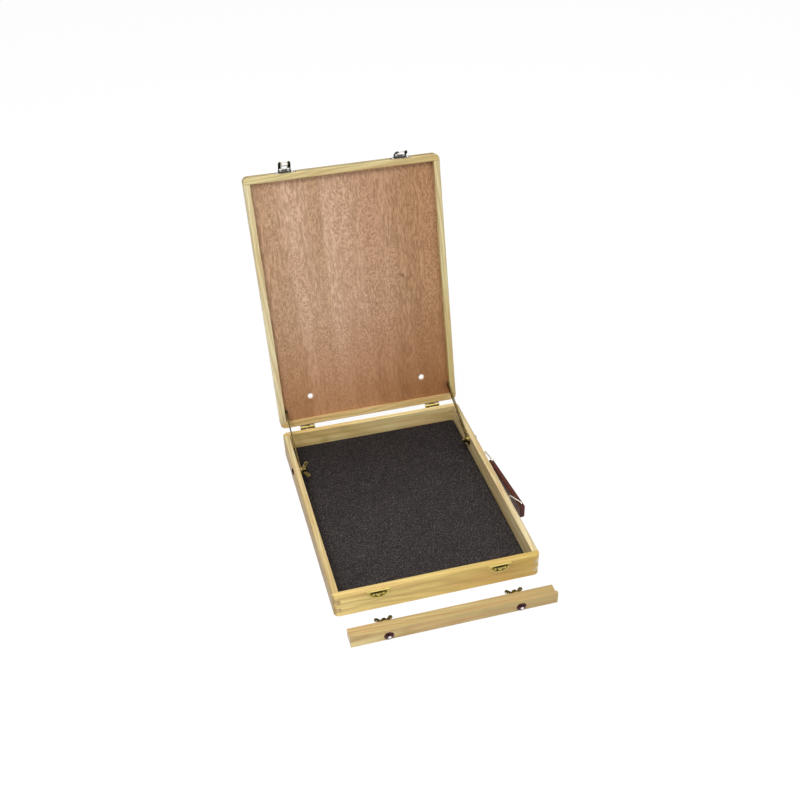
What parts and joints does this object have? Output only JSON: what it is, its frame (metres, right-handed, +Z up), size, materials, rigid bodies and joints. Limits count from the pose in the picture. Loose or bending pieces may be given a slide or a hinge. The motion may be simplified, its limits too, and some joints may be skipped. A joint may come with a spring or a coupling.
{
  "type": "box easel",
  "caption": "Flat wooden art box with a lid that stays hold open as an easel, latches, a carrying handle, a foam-lined tray and a removable ledge bar.",
  "frame": {"origin": "centre of the tray's underside, on the surface that the box stands on", "axes": "+X to the right along the hinge line, +Y to the back towards the hinges, +Z up; shown with the lid held open"},
  "size_m": [0.3356, 0.5954, 0.4618],
  "materials": {
    "pine": "clear lacquered pine",
    "plywood": "sanded tropical plywood",
    "foam": "dark open-cell foam sheet",
    "brass": "brassed steel, lightly tarnished",
    "nickel": "bright plated",
    "grip": "dark red-brown leatherette"
  },
  "bodies": {
    "tray": {"tray_front": "pine", "tray_back": "pine", "tray_left": "pine", "tray_right": "pine", "tray_floor": "plywood", "foam_liner": "foam", "hinge_leaves_tray": "brass", "hinge_pins": "brass", "keepers": "brass", "stay_bolts": "brass", "stay_washers": "brass", "handle_saddles": "nickel"},
    "lid": {"lid_front": "pine", "lid_back": "pine", "lid_left": "pine", "lid_right": "pine", "lid_panel": "plywood", "hinge_leaves_lid": "brass", "latch_plates": "nickel", "latch_pins": "nickel", "stay_screws": "brass"},
    "stay_left": {"stay_left": "brass"},
    "stay_right": {"stay_right": "brass"},
    "stay_wing_nut_left": {"stay_wing_nut_left": "brass"},
    "stay_wing_nut_right": {"stay_wing_nut_right": "brass"},
    "latch_lever_left": {"latch_lever_left": "nickel"},
    "latch_lever_right": {"latch_lever_right": "nickel"},
    "handle_ring_rear": {"handle_ring_rear": "nickel"},
    "handle_ring_front": {"handle_ring_front": "nickel"},
    "handle_grip": {"handle_grip": "grip"},
    "ledge": {"ledge_bar": "pine", "ledge_bolts": "brass", "ledge_washers": "brass"},
    "ledge_wing_nut_left": {"ledge_wing_nut_left": "brass"},
    "ledge_wing_nut_right": {"ledge_wing_nut_right": "brass"}
  },
  "joints": [
    {"name": "lid_hinge", "type": "hinge", "parent": "tray", "child": "lid", "pos_m": [0, 0.209, 0.04], "axis": [1, 0, 0], "range_deg": [0, 103.5]},
    {"name": "stay_left_pivot", "type": "hinge", "parent": "lid", "child": "stay_left", "pos_m": [-0.14225, 0.21908, 0.06998], "axis": [1, 0, 0], "range_deg": [-113.45, 0]},
    {"name": "stay_left_nut_turn", "type": "hinge", "parent": "tray", "child": "stay_wing_nut_left", "pos_m": [-0.138, 0.105, 0.032], "axis": [1, 0, 0], "continuous": true},
    {"name": "latch_left_flip", "type": "hinge", "parent": "lid", "child": "latch_lever_left", "pos_m": [-0.0895, 0.3114, 0.44509], "axis": [1, 0, 0], "range_deg": [-106, 44]},
    {"name": "stay_right_pivot", "type": "hinge", "parent": "lid", "child": "stay_right", "pos_m": [0.14225, 0.21908, 0.06998], "axis": [1, 0, 0], "range_deg": [-113.45, 0]},
    {"name": "stay_right_nut_turn", "type": "hinge", "parent": "tray", "child": "stay_wing_nut_right", "pos_m": [0.138, 0.105, 0.032], "axis": [1, 0, 0], "continuous": true},
    {"name": "latch_right_flip", "type": "hinge", "parent": "lid", "child": "latch_lever_right", "pos_m": [0.0925, 0.3114, 0.44509], "axis": [1, 0, 0], "range_deg": [-130, 20]},
    {"name": "handle_swing", "type": "hinge", "parent": "tray", "child": "handle_ring_rear", "pos_m": [0.161, 0.068, 0.016], "axis": [0, 0, 1], "range_deg": [0, 72]},
    {"name": "handle_front_ring_swing", "type": "hinge", "parent": "tray", "child": "handle_ring_front", "pos_m": [0.161, -0.052, 0.016], "axis": [0, 0, 1], "range_deg": [0, 57.61]},
    {"name": "handle_grip_swivel", "type": "hinge", "parent": "handle_ring_rear", "child": "handle_grip", "pos_m": [0.16469, 0.04176, 0.016], "axis": [0, 0, 1], "range_deg": [-76.15, 0]},
    {"name": "ledge_lift_off", "type": "slide", "parent": "tray", "child": "ledge", "axis": [0, 0, 1], "range_m": [0, 0.15]},
    {"name": "ledge_nut_left_turn", "type": "hinge", "parent": "ledge", "child": "ledge_wing_nut_left", "pos_m": [-0.0905, -0.23885, 0.0069], "axis": [0, 1, 0], "continuous": true},
    {"name": "ledge_nut_right_turn", "type": "hinge", "parent": "ledge", "child": "ledge_wing_nut_right", "pos_m": [0.1045, -0.23885, 0.0069], "axis": [0, 1, 0], "continuous": true}
  ],
  "couplings": [
    {"joint": "stay_left_pivot", "follows": "lid_hinge", "ratio": -1.096},
    {"joint": "stay_right_pivot", "follows": "lid_hinge", "ratio": -1.096},
    {"joint": "handle_front_ring_swing", "follows": "handle_swing", "ratio": 0.8},
    {"joint": "handle_grip_swivel", "follows": "handle_swing", "ratio": -1.0575}
  ]
}
